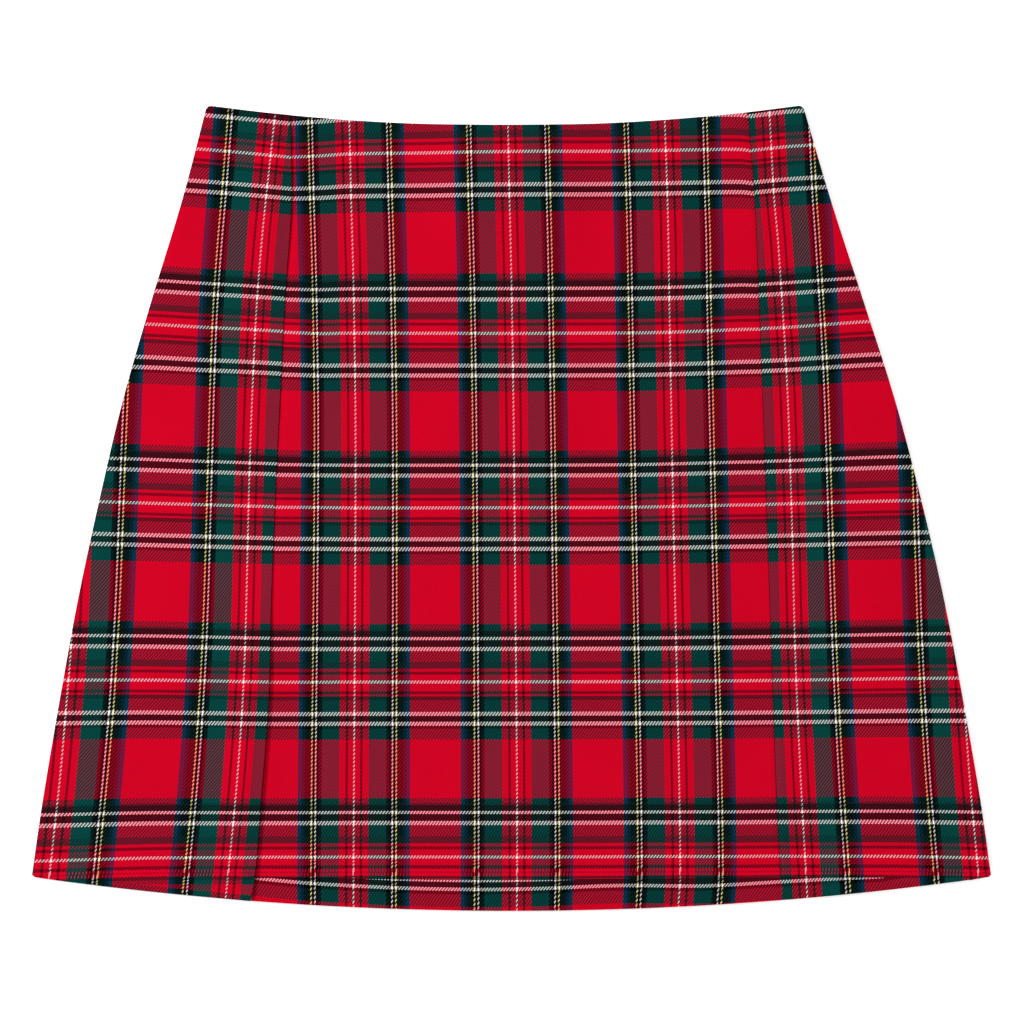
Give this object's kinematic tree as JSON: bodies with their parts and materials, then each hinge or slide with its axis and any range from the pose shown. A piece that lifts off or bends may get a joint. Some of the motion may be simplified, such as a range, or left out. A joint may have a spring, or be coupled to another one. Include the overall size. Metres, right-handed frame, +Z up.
{
  "type": "tartan mini skirt",
  "caption": "High-waisted A-line mini skirt in red tartan twill, laid flat, with princess seams, a shaped front hem band and a concealed back zip with a hinged pull tab.",
  "frame": {"origin": "on the surface that the skirt lies on, under the middle of its laid outline", "axes": "+X to the right of the laid front, +Y towards the waist, +Z up out of the cloth"},
  "size_m": [0.5278, 0.4433, 0.0064],
  "materials": {
    "tartan": "brushed 2/2 twill in red, green, black, navy, yellow and white",
    "zip_tape": "woven polyester tape with a nylon coil",
    "zip_metal": "lacquered zinc"
  },
  "bodies": {
    "cloth": {"front_centre": "tartan", "front_side_left": "tartan", "front_side_right": "tartan", "front_hem_band": "tartan", "back_left": "tartan", "back_right": "tartan", "zip_tape": "zip_tape", "zip_slider": "zip_metal"},
    "pull_tab": {"zip_pull_tab": "zip_metal"}
  },
  "joints": [
    {"name": "pull_tab_swing", "type": "hinge", "parent": "cloth", "child": "pull_tab", "pos_m": [-0.0036, 0.20165, 0.00105], "axis": [1, 0, 0], "range_deg": [0, 170]}
  ]
}
